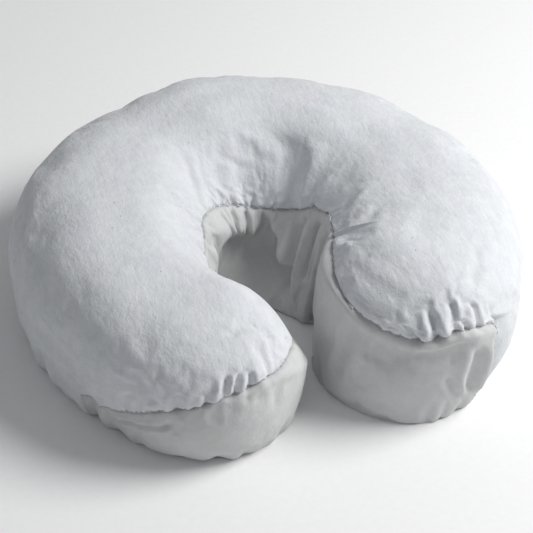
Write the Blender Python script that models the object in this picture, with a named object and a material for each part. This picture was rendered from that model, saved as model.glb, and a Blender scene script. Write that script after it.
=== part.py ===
"""Face cradle cushion in a fitted flannel cover, for the head end of a massage table.

The pad is a horseshoe: a soft foam layer on a firmer foam core, upholstered in vinyl, with a flat
base panel and three loop tapes that grip the cradle's frame.  The cover is a top panel and a gusset
sewn together, drawn over the pad and held under its base by an elastic in the hem.

Metres, +Z up.  The horseshoe's mouth faces -Y and its arms lie left and right along X.  The origin
is the centre of the footprint, on the surface that the cushion stands on.

Every layer is one closed surface round the same centre line.  A "column" is one direction out from
that line, and a "section" is the layer's outline in the column's plane, as (reach, height) points.
"""
from collections import namedtuple
from math import cos, pi, sin, sqrt

import bmesh
import bpy
import numpy as np
from mathutils import Matrix, Vector

# The centre line: half an ellipse round the crown, and an arm that curves in to each tip.
ARM_SPREAD = 0.092          # from the middle out to an arm's centre line, at its widest
CROWN_RISE = 0.0934         # from the arms' widest place back to the crown's centre line
ARM_LENGTH = 0.068          # from the arms' widest place forward to the centre of a tip
TIP_SPREAD = 0.0637         # from the middle out to the centre of a tip

# The padded section round that line.
HALF_WIDTH_CROWN = 0.058
HALF_WIDTH_ARM = 0.060
HALF_WIDTH_TIP = 0.059
INNER_HALF_WIDTH_TIP = 0.048  # the arms are narrower on the opening's side, most at the tips
NARROW_START = 0.55         # where that starts, as a share of the way from the crown to a tip
NARROW_POWER = 1.5
TIP_SQUARENESS = 12.0       # how sharply the tip's round end turns into the opening's side
HEIGHT_CROWN = 0.0925
HEIGHT_TIP = 0.0943
SEAM_SHARE_CROWN = 0.52     # the gusset's top seam, as a share of the height
SEAM_SHARE_TIP = 0.71
SEAM_RISE_END = 0.6         # share of the way from the crown to a tip where the seam stops rising
BULGE_SHARE = 0.49          # the outer side's widest place, as a share of the height
OUTER_FULLNESS = 2.5        # exponent of the outer side's rounding: 2 is an ellipse
INNER_FULLNESS = 2.0
OUTER_UNDERCUT = 0.22       # how far each side turns in at the base, as a share of the half width
INNER_UNDERCUT = 0.05
UNDERCUT_POWER = 2.2
ROUND_SIDE_END = 0.7        # share of a tip's half turn over which the outer side becomes the inner

# The layers, outside in.
FLANNEL = 0.0012
VINYL = 0.0010
GAP = 0.0003
SKIN_INSET = FLANNEL + GAP
FOAM_INSET = SKIN_INSET + VINYL + GAP
FOAM_SPLIT_HEIGHT = 0.038   # where the soft foam layer sits on the core
LOWER_WALL_HEIGHTS = (FOAM_SPLIT_HEIGHT, 0.018, 0.008)

# The seam between the cover's two panels, and the hem.
THREAD = 0.0010
HEM_TUCK = 0.010            # how far the cover's panels run in under the base
CASING_WIDTH = 0.0090
CASING_HEIGHT = 0.0026
CASING_CLOTH = 0.0006
ELASTIC_WIDTH = 0.0066
ELASTIC_THICKNESS = 0.0008
GUSSET_END = 0.1            # where the gusset ends, as a share of a tip's half turn
BASE_HEIGHT = CASING_HEIGHT + GAP

# The loop tapes under the base.
TAPE_WIDTH = 0.025
TAPE_LENGTH = 0.090
TAPE_CORNER = 0.003
ARM_TAPE_SHARE = 0.17       # where an arm's tape is centred, as a share of the centre line

# How finely the surface is divided.
SPINE_STATIONS = 23
TIP_STATIONS = 8
TOP_STEPS = 6
TIGHT = 1e-6

Column = namedtuple("Column", "centre direction half_width height seam_height outerness")


# ------------------------------ the centre line and its columns

def spine_path(samples=400):
    """The centre line from the right tip round the crown to the left tip, as dense points."""
    arm_y = np.linspace(-ARM_LENGTH, 0.0, samples)[:-1]
    arm_x = ARM_SPREAD - (ARM_SPREAD - TIP_SPREAD) * (arm_y / ARM_LENGTH) ** 2
    turn = np.linspace(0.0, pi, samples)
    crown = np.column_stack([ARM_SPREAD * np.cos(turn), CROWN_RISE * np.sin(turn)])
    right_arm = np.column_stack([arm_x, arm_y])
    left_arm = (right_arm * [-1.0, 1.0])[::-1]
    return np.concatenate([right_arm, crown, left_arm])


def footprint_middle():
    """Where the middle of the footprint lies along Y, measured from the arms' widest place."""
    crown_edge = CROWN_RISE + HALF_WIDTH_CROWN
    tip_edge = -ARM_LENGTH - HALF_WIDTH_TIP
    return (crown_edge + tip_edge) / 2


def spine_stations(count):
    """Evenly spaced (point, tangent, share of the length) along the centre line."""
    path = spine_path()
    steps = np.linalg.norm(np.diff(path, axis=0), axis=1)
    along = np.concatenate([[0.0], np.cumsum(steps)])
    tangents = np.gradient(path, axis=0)
    stations = []
    for share in np.linspace(0.0, 1.0, count):
        distance = share * along[-1]
        point = Vector([np.interp(distance, along, path[:, axis]) for axis in (0, 1)])
        tangent = Vector([np.interp(distance, along, tangents[:, axis]) for axis in (0, 1)])
        point.y -= footprint_middle()
        stations.append((point, tangent.normalized(), share))
    return stations


def smooth_share(value):
    """A share from 0 to 1 that starts and ends level."""
    value = min(max(value, 0.0), 1.0)
    return value * value * (3.0 - 2.0 * value)


def facing_reach(half_width, from_crown, facing):
    """The half width of a column that faces the opening this much: 1 fully, 0 or less not at all."""
    if facing <= 0.0:
        return half_width
    narrowing = max((from_crown - NARROW_START) / (1.0 - NARROW_START), 0.0) ** NARROW_POWER
    side = half_width - (HALF_WIDTH_TIP - INNER_HALF_WIDTH_TIP) * narrowing
    if facing == 1.0:
        return side
    return (half_width ** -TIP_SQUARENESS + (side / facing) ** -TIP_SQUARENESS) ** (-1.0 / TIP_SQUARENESS)


def make_column(point, direction, share, outerness, facing):
    """One column at this share of the centre line: 0 and 1 are the tips, 0.5 the crown."""
    from_crown = abs(2.0 * share - 1.0)
    half_width = HALF_WIDTH_CROWN
    half_width += (HALF_WIDTH_ARM - HALF_WIDTH_CROWN) * smooth_share(from_crown / 0.5)
    half_width += (HALF_WIDTH_TIP - HALF_WIDTH_ARM) * max(from_crown / 0.5 - 1.0, 0.0) ** 2
    half_width = facing_reach(half_width, from_crown, facing)
    height = HEIGHT_TIP + (HEIGHT_CROWN - HEIGHT_TIP) * sin(pi * share)
    seam_rise = min(from_crown / SEAM_RISE_END, 1.0) ** 1.5
    seam_share = SEAM_SHARE_CROWN + (SEAM_SHARE_TIP - SEAM_SHARE_CROWN) * seam_rise
    seam_share += (BULGE_SHARE - seam_share) * outerness
    return Column(point, direction, half_width, height, seam_share * height, outerness)


def tip_columns(station, forward, outward):
    """The fan of columns round one tip, from its outer side to its inner side.

    Three narrow steps stand in the fan where the gusset ends: a gap, the thread and a gap.
    """
    point, _, share = station
    narrow = [GAP / HALF_WIDTH_TIP, (GAP + THREAD) / HALF_WIDTH_TIP]
    narrow.append((2 * GAP + THREAD) / HALF_WIDTH_TIP)
    angles = [pi * step / TIP_STATIONS for step in range(1, TIP_STATIONS)]
    angles += [pi * GUSSET_END] + [pi * GUSSET_END + angle for angle in narrow]
    columns = []
    for angle in sorted(angles):
        direction = outward * cos(angle) + forward * sin(angle)
        turned = min(angle / (ROUND_SIDE_END * pi), 1.0)
        outerness = 0.5 + 0.5 * cos(pi * turned)
        columns.append(make_column(point, direction, share, outerness, -cos(angle)))
    return columns


def loop_columns():
    """Every column of the horseshoe: its outer side, left tip, inner side and right tip."""
    stations = spine_stations(SPINE_STATIONS)
    outward = [Vector((tangent.y, -tangent.x)) for _, tangent, _ in stations]
    outer_side = [make_column(p, n, s, 1.0, 0.0) for (p, _, s), n in zip(stations, outward)]
    inner_side = [make_column(p, -n, s, 0.0, 1.0) for (p, _, s), n in zip(stations, outward)]
    left_tip = tip_columns(stations[-1], stations[-1][1], outward[-1])
    right_tip = tip_columns(stations[0], -stations[0][1], outward[0])
    return outer_side + left_tip + inner_side[::-1] + right_tip[::-1]


# ------------------------------ sections

def top_section(column, inset):
    """From the ridge out to the seam, or to the widest place on the outer side."""
    width = column.half_width - inset
    rise = column.height - inset - column.seam_height
    fullness = INNER_FULLNESS + (OUTER_FULLNESS - INNER_FULLNESS) * column.outerness
    drop_power = fullness + 0.6 * (1.0 - column.outerness)
    points = []
    for step in range(TOP_STEPS + 1):
        reach = sin(pi / 2 * step / TOP_STEPS) ** (2.0 / fullness)
        level = max(1.0 - reach ** drop_power, 0.0) ** (1.0 / (1.0 + column.outerness))
        points.append((width * reach, column.seam_height + rise * level))
    return points


def wall_point(column, inset, base, height):
    """The side wall at this height, where the layer's foot is at the height base."""
    width = column.half_width - inset
    down = (column.seam_height - height) / (column.seam_height - base)
    undercut = INNER_UNDERCUT + (OUTER_UNDERCUT - INNER_UNDERCUT) * column.outerness
    turned_in = undercut * (1.0 - sqrt(max(1.0 - down ** UNDERCUT_POWER, 0.0)))
    return (width * (1.0 - turned_in), height)


def wall_section(column, inset, base, heights):
    """The side wall at each of these heights, top first."""
    return [wall_point(column, inset, base, height) for height in heights]


def seam_heights(column):
    """The three levels just under the seam: below a gap, below the thread, below a gap."""
    top = column.seam_height
    return [top - GAP, top - GAP - THREAD, top - 2 * GAP - THREAD]


def hem_reach(column):
    """How far from the centre line the cover's panels end, under the base."""
    return wall_point(column, 0.0, 0.0, 0.0)[0] - HEM_TUCK


# ------------------------------ mesh building

def new_object(name, bm, material):
    """Welds the mesh, turns its faces outward and links it as a named object."""
    bmesh.ops.remove_doubles(bm, verts=bm.verts, dist=TIGHT)
    bmesh.ops.dissolve_degenerate(bm, edges=bm.edges, dist=TIGHT)
    bmesh.ops.recalc_face_normals(bm, faces=bm.faces)
    mesh = bpy.data.meshes.new(name)
    bm.to_mesh(mesh)
    bm.free()
    mesh.materials.append(material)
    mesh.shade_smooth()
    mesh.set_sharp_from_angle(angle=pi / 6)
    obj = bpy.data.objects.new(name, mesh)
    bpy.context.scene.collection.objects.link(obj)
    return obj


def place(bm, column, reach_and_height):
    """A vertex at this reach and height in the column's plane."""
    reach, height = reach_and_height
    flat = column.centre + column.direction * reach
    return bm.verts.new((flat.x, flat.y, height))


def add_cell(bm, a, b, c, d):
    """Two triangles, split the same way in every layer so that nested layers stay parallel."""
    bm.faces.new((a, b, c))
    bm.faces.new((a, c, d))


def swept_solid(name, columns, sections, material, ring=False):
    """A body with one section per column, all with the same number of points.

    A ring's sections are closed outlines.  The others start and end on the centre line.
    """
    bm = bmesh.new()
    grid = [[place(bm, c, point) for point in section] for c, section in zip(columns, sections)]
    spans = len(grid[0]) if ring else len(grid[0]) - 1
    for i, near in enumerate(grid):
        far = grid[(i + 1) % len(grid)]
        for j in range(spans):
            k = (j + 1) % len(near)
            add_cell(bm, near[j], far[j], far[k], near[k])
    return new_object(name, bm, material)


def sheet_piece(name, columns, outer, inner, cells, material):
    """A sheet with thickness: the cells (column, row) of two matching grids, joined at their rim."""
    bm = bmesh.new()
    outer_grid = [[place(bm, c, point) for point in section] for c, section in zip(columns, outer)]
    inner_grid = [[place(bm, c, point) for point in section] for c, section in zip(columns, inner)]
    count = len(columns)
    for i, j in cells:
        k = (i + 1) % count
        corners = [(i, j), (k, j), (k, j + 1), (i, j + 1)]
        add_cell(bm, *(outer_grid[a][b] for a, b in corners))
        add_cell(bm, *(inner_grid[a][b] for a, b in corners))
        neighbours = [(i, j - 1), (k, j), (i, j + 1), ((i - 1) % count, j)]
        for side, neighbour in enumerate(neighbours):
            on_ridge = side == 0 and j == 0
            if neighbour in cells or on_ridge:
                continue
            (a, b), (c, d) = corners[side], corners[(side + 1) % 4]
            bm.faces.new((outer_grid[a][b], inner_grid[a][b], inner_grid[c][d], outer_grid[c][d]))
    unused = [v for v in bm.verts if not v.link_faces]
    bmesh.ops.delete(bm, geom=unused, context="VERTS")
    return new_object(name, bm, material)


def make_material(name, colour, roughness):
    """A plain Principled material for one sub-part."""
    material = bpy.data.materials.new(name)
    material.use_nodes = True
    shader = material.node_tree.nodes["Principled BSDF"]
    shader.inputs["Base Color"].default_value = (*colour, 1.0)
    shader.inputs["Roughness"].default_value = roughness
    shader.inputs["Metallic"].default_value = 0.0
    return material


# ------------------------------ the cover

def cover_grid(columns, inset, floor):
    """The cover's sections: ridge to seam, the seam's three levels, the wall, and the tuck."""
    grid = []
    for column in columns:
        heights = seam_heights(column) + [max(h, floor) for h in LOWER_WALL_HEIGHTS] + [floor]
        section = top_section(column, inset) + wall_section(column, inset, floor, heights)
        section.append((hem_reach(column), floor))
        grid.append(section)
    return grid


def gusset_columns(columns):
    """Index of the first and last of the columns that the gusset spans, thread included."""
    left_fan = SPINE_STATIONS
    first = left_fan + next_narrow_step()
    last = len(columns) - 1 - next_narrow_step()
    return first, last


def next_narrow_step():
    """How many of a tip's columns come before the gusset's end."""
    return sum(1 for step in range(1, TIP_STATIONS) if step / TIP_STATIONS < GUSSET_END)


def add_cover(columns):
    """The top panel, the gusset and the thread of the seam between them."""
    flannel = make_material("white_flannel_top", (0.80, 0.81, 0.82), 0.95)
    gusset_flannel = make_material("white_flannel_gusset", (0.74, 0.75, 0.76), 0.92)
    cotton = make_material("sewing_thread", (0.82, 0.82, 0.82), 0.7)
    outer = cover_grid(columns, 0.0, 0.0)
    inner = cover_grid(columns, FLANNEL, FLANNEL)
    first, last = gusset_columns(columns)
    rows = len(outer[0]) - 1
    thread_row = TOP_STEPS + 1
    everywhere = range(len(columns))
    outside_gusset = [i for i in everywhere if i < first or i >= last]
    top = {(i, j) for i in everywhere for j in range(TOP_STEPS)}
    top |= {(i, j) for i in outside_gusset for j in range(TOP_STEPS, rows)}
    gusset = {(i, j) for i in range(first + 3, last - 3) for j in range(thread_row + 2, rows)}
    thread = {(i, thread_row) for i in range(first + 1, last - 1)}
    thread |= {(i, j) for i in (first + 1, last - 2) for j in range(thread_row, rows)}
    sheet_piece("cover_top_panel", columns, outer, inner, top, flannel)
    sheet_piece("cover_gusset", columns, outer, inner, gusset, gusset_flannel)
    sheet_piece("cover_seam_thread", columns, outer, inner, thread, cotton)


def add_hem(columns):
    """The elastic's casing, the thread that closes it and the elastic inside it."""
    flannel = make_material("white_flannel_hem", (0.76, 0.77, 0.78), 0.92)
    cotton = make_material("hem_thread", (0.82, 0.82, 0.82), 0.7)
    rubber = make_material("woven_elastic", (0.85, 0.85, 0.83), 0.8)
    casings, threads, elastics = [], [], []
    middle = CASING_HEIGHT / 2
    for column in columns:
        thread_edge = hem_reach(column) - GAP
        edge = thread_edge - THREAD - GAP
        far = edge - CASING_WIDTH
        inside, far_inside = edge - CASING_CLOTH, far + CASING_CLOTH
        top, top_inside = CASING_HEIGHT, CASING_HEIGHT - CASING_CLOTH
        mouth_top, mouth_bottom = middle + GAP / 2, middle - GAP / 2
        casings.append([
            (edge, mouth_top), (edge, top), (far, top), (far, 0.0), (edge, 0.0),
            (edge, mouth_bottom), (inside, mouth_bottom), (inside, CASING_CLOTH),
            (far_inside, CASING_CLOTH), (far_inside, top_inside), (inside, top_inside),
            (inside, mouth_top)])
        threads.append(band_outline(thread_edge - THREAD / 2, THREAD, middle, THREAD))
        elastics.append(band_outline((edge + far) / 2, ELASTIC_WIDTH, middle, ELASTIC_THICKNESS))
    swept_solid("cover_hem_casing", columns, casings, flannel, ring=True)
    swept_solid("cover_hem_thread", columns, threads, cotton, ring=True)
    swept_solid("cover_elastic", columns, elastics, rubber, ring=True)


def band_outline(reach, width, height, thickness):
    """A flat band's outline about its middle at this reach and height."""
    half_width, half_thickness = width / 2, thickness / 2
    return [(reach + half_width, height + half_thickness), (reach - half_width, height + half_thickness),
            (reach - half_width, height - half_thickness), (reach + half_width, height - half_thickness)]


# ------------------------------ the pad

def skin_grid(columns, inset):
    """The pad skin's sections: ridge to seam, a gap, and the wall down to the base panel."""
    grid = []
    for column in columns:
        heights = [column.seam_height - GAP, *LOWER_WALL_HEIGHTS, BASE_HEIGHT]
        section = top_section(column, inset)
        grid.append(section + wall_section(column, inset, BASE_HEIGHT, heights))
    return grid


def add_pad_skin(columns):
    """The vinyl round the foam: the top with the outer side, the band inside and the base."""
    vinyl = make_material("cream_vinyl", (0.72, 0.69, 0.63), 0.45)
    band_vinyl = make_material("cream_vinyl_band", (0.70, 0.67, 0.61), 0.45)
    base_vinyl = make_material("cream_vinyl_base", (0.68, 0.65, 0.60), 0.5)
    outer = skin_grid(columns, SKIN_INSET)
    inner = skin_grid(columns, SKIN_INSET + VINYL)
    first, last = gusset_columns(columns)
    rows = len(outer[0]) - 1
    everywhere = range(len(columns))
    top = {(i, j) for i in everywhere for j in range(TOP_STEPS)}
    top |= {(i, j) for i in everywhere if i < first or i >= last for j in range(TOP_STEPS, rows)}
    band = {(i, j) for i in range(first + 1, last - 1) for j in range(TOP_STEPS + 1, rows)}
    sheet_piece("pad_top_skin", columns, outer, inner, top, vinyl)
    sheet_piece("pad_inner_band", columns, outer, inner, band, band_vinyl)
    panels = []
    for column in columns:
        edge = wall_point(column, SKIN_INSET + VINYL, BASE_HEIGHT, BASE_HEIGHT)[0] - GAP
        top_face, bottom_face = BASE_HEIGHT + VINYL, BASE_HEIGHT
        panels.append([(0.0, top_face), (edge, top_face), (edge, bottom_face), (0.0, bottom_face)])
    swept_solid("pad_base_panel", columns, panels, base_vinyl)


def add_foam(columns):
    """The soft layer under the face and the firmer core that it is glued to."""
    soft_foam = make_material("soft_foam", (0.86, 0.82, 0.70), 0.9)
    firm_foam = make_material("firm_foam", (0.62, 0.68, 0.74), 0.9)
    foot = BASE_HEIGHT + VINYL + GAP
    soft_floor = FOAM_SPLIT_HEIGHT
    core_roof = FOAM_SPLIT_HEIGHT - GAP
    comfort, core = [], []
    for column in columns:
        dome = top_section(column, FOAM_INSET)
        comfort.append(dome + [wall_point(column, FOAM_INSET, foot, soft_floor), (0.0, soft_floor)])
        heights = [core_roof, *LOWER_WALL_HEIGHTS[1:], foot]
        core.append([(0.0, core_roof), *wall_section(column, FOAM_INSET, foot, heights), (0.0, foot)])
    swept_solid("foam_comfort_layer", columns, comfort, soft_foam)
    swept_solid("foam_support_core", columns, core, firm_foam)


def add_loop_tape(name, middle, turn):
    """A tape of loop pile under the base, with rounded corners, its long side along X before it turns."""
    loop_pile = make_material(name + "_pile", (0.80, 0.80, 0.78), 0.95)
    bm = bmesh.new()
    bmesh.ops.create_cube(bm, size=1.0)
    bmesh.ops.scale(bm, vec=(TAPE_LENGTH, TAPE_WIDTH, CASING_HEIGHT), verts=bm.verts)
    upright = [e for e in bm.edges if abs(e.verts[0].co.z - e.verts[1].co.z) > TIGHT]
    bmesh.ops.bevel(bm, geom=upright, offset=TAPE_CORNER, segments=3, affect="EDGES", profile=0.5)
    tape = new_object(name, bm, loop_pile)
    tape.matrix_world = Matrix.Translation((*middle, CASING_HEIGHT / 2)) @ Matrix.Rotation(turn, 4, "Z")


def add_loop_tapes():
    """One tape under the crown and one under each arm, each along the centre line."""
    stations = spine_stations(SPINE_STATIONS)
    last = SPINE_STATIONS - 1
    arm = round(ARM_TAPE_SHARE * last)
    places = {"crown": last // 2, "right_arm": arm, "left_arm": last - arm}
    for side, index in places.items():
        point, tangent, _ = stations[index]
        add_loop_tape("loop_tape_" + side, point, np.arctan2(tangent.y, tangent.x))


def clear_scene():
    for obj in list(bpy.data.objects):
        bpy.data.objects.remove(obj, do_unlink=True)


clear_scene()
horseshoe = loop_columns()
add_cover(horseshoe)
add_hem(horseshoe)
add_pad_skin(horseshoe)
add_foam(horseshoe)
add_loop_tapes()
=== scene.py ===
"""Looks of the face cradle cushion: a horseshoe pad in a loosely fitted white flannel cover.

The cover is one surface round the horseshoe, in "columns" (directions out from the centre line) and
"rows" (steps from the ridge over the side and under the base).  The folds are put in that surface, and
then its panels are cut from it along the seam.  The pad inside is the same surface, further in.
Metres, +Z up, in the frame of the CAD model.
"""
from math import cos, pi, radians, sin
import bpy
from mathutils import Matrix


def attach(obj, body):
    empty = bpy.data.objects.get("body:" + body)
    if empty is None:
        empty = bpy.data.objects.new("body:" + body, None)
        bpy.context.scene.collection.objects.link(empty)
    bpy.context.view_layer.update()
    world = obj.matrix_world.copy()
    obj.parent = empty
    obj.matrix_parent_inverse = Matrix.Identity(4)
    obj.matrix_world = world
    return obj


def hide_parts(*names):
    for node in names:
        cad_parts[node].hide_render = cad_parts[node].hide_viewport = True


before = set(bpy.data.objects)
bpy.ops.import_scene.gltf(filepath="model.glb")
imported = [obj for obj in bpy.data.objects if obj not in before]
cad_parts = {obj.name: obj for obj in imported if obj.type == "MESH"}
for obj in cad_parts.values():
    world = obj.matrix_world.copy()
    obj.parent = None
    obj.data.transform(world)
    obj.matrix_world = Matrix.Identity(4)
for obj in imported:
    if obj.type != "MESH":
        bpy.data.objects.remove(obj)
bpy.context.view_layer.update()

from types import SimpleNamespace

import bmesh
import bpy
import numpy as np
from mathutils import Matrix, Vector

# The centre line and the section, as in the CAD model.
ARM_SPREAD = 0.092
CROWN_RISE = 0.0934
ARM_LENGTH = 0.068
TIP_SPREAD = 0.0637
HALF_WIDTH_CROWN = 0.058
HALF_WIDTH_ARM = 0.060
HALF_WIDTH_TIP = 0.059
INNER_HALF_WIDTH_LEFT = 0.038   # on the opening's side of the two tips
INNER_HALF_WIDTH_RIGHT = 0.055
NARROW_START = 0.65
NARROW_POWER = 1.5
TIP_SQUARENESS = 12.0
HEIGHT_CROWN = 0.0925
HEIGHT_TIP = 0.0943
BULGE_SHARE = 0.49
OUTER_FULLNESS = 2.5
INNER_FULLNESS = 2.0
OUTER_UNDERCUT = 0.22
INNER_UNDERCUT = 0.05
UNDERCUT_POWER = 2.2
HEM_TUCK = 0.010
MIDDLE_Y = (CROWN_RISE + HALF_WIDTH_CROWN - ARM_LENGTH - HALF_WIDTH_TIP) / 2

# Where the section turns from dome to wall, as a share of the height, and how far round each tip.
TURN_SHARE_CROWN = 0.50
TURN_SHARE_RIGHT = 0.80
TURN_SHARE_LEFT = 0.62
ROUND_END_RIGHT = 0.40
ROUND_END_LEFT = 0.70
LEFT_TIP_FALL = 0.012       # how much lower the left tip is than the right one
LEFT_TIP_TURN = 0.030       # the height where its section turns, on the opening's side

# How finely the cover is divided.  Both column counts are odd, so that every second column is a
# coarser cover of the same kind.
SIDE_COLUMNS = 281
TIP_COLUMNS = 119
TOP_ROWS = 56
WALL_ROWS = 40
TUCK_ROWS = 6
COLUMNS = 2 * (SIDE_COLUMNS + TIP_COLUMNS)
SEAM_ROW = TOP_ROWS
FOOT_ROW = TOP_ROWS + WALL_ROWS
HEM_ROW = FOOT_ROW + TUCK_ROWS

# The layers under the cover's outside.
FLANNEL = 0.0010
FLOOR_GAP = 0.0003
PAD_DEPTH = 0.0028
VINYL = 0.0010
FOAM_DEPTH = 0.0042
FOAM_SPLIT_HEIGHT = 0.038
FOAM_GAP = 0.0003
BASE_HEIGHT = 0.0029
CASING_WIDTH = 0.0094
CASING_HEIGHT = 0.0025
ELASTIC_WIDTH = 0.0066

# The cover sits askew: at these places its seam is off the turn of the section, down where positive.
SEAM_DROP = {
    "outer": [
        (0.84, 0.000), (0.93, 0.034), (0.97, 0.022),
    ],
    "left": [
        (0.00, 0.010), (0.08, 0.008), (0.16, 0.002), (0.25, -0.004), (0.40, -0.004), (0.50, -0.010),
        (0.62, -0.018), (0.80, -0.020),
    ],
    "inner": [
        (0.95, -0.020), (0.80, -0.014), (0.62, -0.007), (0.47, -0.001), (0.38, 0.006), (0.30, 0.010),
        (0.20, 0.008), (0.08, 0.000),
    ],
    "right": [
        (0.95, -0.006), (0.82, -0.011), (0.71, -0.006), (0.63, 0.000), (0.53, 0.006), (0.43, 0.010),
        (0.33, 0.005), (0.25, -0.004), (0.16, -0.010), (0.00, -0.010),
    ],
}
SEAM_BLUR = 20              # columns over which its course is evened out
GUSSET_START = ("outer", 0.93)
GUSSET_END = ("right", 0.155)
SEAM_GROOVE_WIDTH = 0.0013
SEAM_GROOVE_DEPTH = 0.0014
WELT_DROP = 0.0042
WELT_WIDTH = 0.0036
WELT_RISE = 0.0013
PUCKER_SPACING = (0.0030, 0.0085)
PUCKER_WIDTH = (0.0008, 0.0017)
PUCKER_LENGTH = (0.005, 0.013)
GATHER_SPACING = (0.006, 0.020)
GATHER_WIDTH = (0.0020, 0.0050)
GATHER_START = (0.30, 0.80)
UNEVENNESS = 0.0006
CHORD_START = (-0.024, 0.012)   # the elastic hem runs straight across the opening between these
CHORD_END = (0.017, -0.036)
CURTAIN_FOLD_TOP = 0.47     # the slanting fold's share of the centre line at the seam and at the hem
CURTAIN_FOLD_FOOT = 0.14
CURTAIN_STAND = 0.007       # how far the cloth right of that fold stands in front of the rest

# The cloth simulation.
CLOTH_FRAMES = 14
CLOTH_SLACK = 0.014         # how much bigger the panels are cut than the pad
CLOTH_DRAW = 0.045          # how much the seams and the hem draw in
CLOTH_CAP = 0.0012          # the furthest that it moves a point
CLOTH_SETTINGS = dict(
    quality=5, mass=0.15, tension_stiffness=15.0, compression_stiffness=15.0, shear_stiffness=6.0,
    bending_stiffness=0.1, air_damping=2.0, use_pressure=True, uniform_pressure_force=1.2,
    vertex_group_mass="held", vertex_group_shrink="drawn", shrink_min=-CLOTH_SLACK, shrink_max=CLOTH_DRAW)
HELD_TOP_ROWS = 8
WRINKLE_SIZE = 14           # columns over which the simulation's slow swelling is taken out


# Long folds: the side, the place and distance below the seam of one end and of the other, width, depth.
FOLDS = [
    ("inner", 0.40, -0.050, 0.34, -0.002, 0.0060, 0.0030),
    ("inner", 0.50, -0.030, 0.52, -0.006, 0.0045, 0.0014),
    ("inner", 0.45, -0.036, 0.43, -0.004, 0.0050, 0.0010),
    ("inner", 0.56, -0.012, 0.57, 0.000, 0.0022, 0.0012),
    ("inner", 0.49, -0.010, 0.49, 0.000, 0.0020, 0.0012),
    ("inner", 0.26, 0.003, 0.235, 0.046, 0.0044, 0.0070),
    ("inner", 0.17, 0.004, 0.160, 0.036, 0.0026, 0.0038),
    ("inner", 0.08, 0.008, 0.065, 0.038, 0.0030, 0.0034),
    ("inner", 0.34, 0.003, 0.350, 0.028, 0.0032, 0.0022),
    ("inner", 0.52, 0.001, 0.510, 0.020, 0.0024, 0.0034),
    ("inner", 0.58, 0.001, 0.595, 0.016, 0.0024, 0.0030),
    ("inner", 0.66, 0.003, 0.650, 0.028, 0.0034, 0.0025),
    ("inner", 0.82, 0.006, 0.810, 0.045, 0.0040, 0.0022),
    ("right", 0.93, 0.010, 0.900, 0.045, 0.0028, 0.0022),
    ("right", 0.455, -0.009, 0.408, 0.001, 0.0021, 0.0022),
    ("right", 0.385, -0.019, 0.352, 0.001, 0.0025, 0.0030),
    ("right", 0.308, -0.019, 0.300, 0.001, 0.0023, 0.0023),
    ("right", 0.286, -0.007, 0.262, 0.001, 0.0016, 0.0016),
    ("right", 0.226, -0.015, 0.215, 0.001, 0.0020, 0.0018),
    ("right", 0.215, 0.012, 0.205, 0.048, 0.0042, 0.0036),
    ("right", 0.310, 0.030, 0.255, 0.048, 0.0030, 0.0013),
    ("left", 0.300, -0.011, 0.272, 0.001, 0.0021, 0.0022),
    ("left", 0.262, -0.013, 0.250, 0.001, 0.0020, 0.0022),
    ("left", 0.338, -0.008, 0.330, 0.001, 0.0018, 0.0014),
    ("left", 0.205, -0.008, 0.200, 0.001, 0.0020, 0.0014),
    ("left", 0.122, -0.013, 0.120, 0.000, 0.0030, 0.0020),
    ("left", 0.020, -0.022, 0.045, -0.007, 0.0030, 0.0013),
    ("outer", 0.945, -0.008, 0.940, 0.022, 0.0045, 0.0024),
    ("outer", 0.880, 0.004, 0.875, 0.030, 0.0050, 0.0018),
    ("outer", 0.140, 0.002, 0.150, 0.030, 0.0050, 0.0018),
]

# Cloth bunched over the elastic on the outer side: place, distance below the seam, radius, height.
BUNCHES = [
    ("outer", 0.935, 0.034, 0.0065, 0.0048), ("outer", 0.985, 0.036, 0.0060, 0.0042),
    ("outer", 0.860, 0.038, 0.0080, 0.0030), ("outer", 0.700, 0.038, 0.0090, 0.0028),
    ("outer", 0.520, 0.036, 0.0080, 0.0026), ("outer", 0.340, 0.038, 0.0090, 0.0028),
    ("outer", 0.180, 0.036, 0.0070, 0.0030),
]

# The camera, measured from the middle of the arms' widest place.
CAMERA_AZIMUTH = radians(-22.2)
CAMERA_ELEVATION = radians(37.0)
CAMERA_ROLL = radians(4.7)
CAMERA_DISTANCE = 0.811
CAMERA_LENS = 91.8
CAMERA_SHIFT = (-0.0042, -0.0391)
AIM_HEIGHT = 0.045


# ------------------------------ the horseshoe's columns

def smooth(value):
    """A share from 0 to 1 that starts and ends level."""
    value = np.clip(value, 0.0, 1.0)
    return value * value * (3.0 - 2.0 * value)


def bump(distance, width):
    """A soft bell, 1 at no distance and 0.37 at the width."""
    return np.exp(-(distance / width) ** 2)


def travelled(points):
    """Distance along a row of points, at each of them."""
    return np.concatenate([[0.0], np.cumsum(np.linalg.norm(np.diff(points, axis=0), axis=1))])


def resample(at, along, points):
    """The points at these distances, where along gives the distance of each point."""
    return np.column_stack([np.interp(at, along, axis) for axis in np.transpose(points)])


def on_floor(flat):
    """Points or directions in the plane, with no height."""
    return np.column_stack([flat, np.zeros(len(flat))])


def blur_round(values):
    """The mean of each column with its two neighbours."""
    return (np.roll(values, 1, axis=0) + values + np.roll(values, -1, axis=0)) / 3.0


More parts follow.
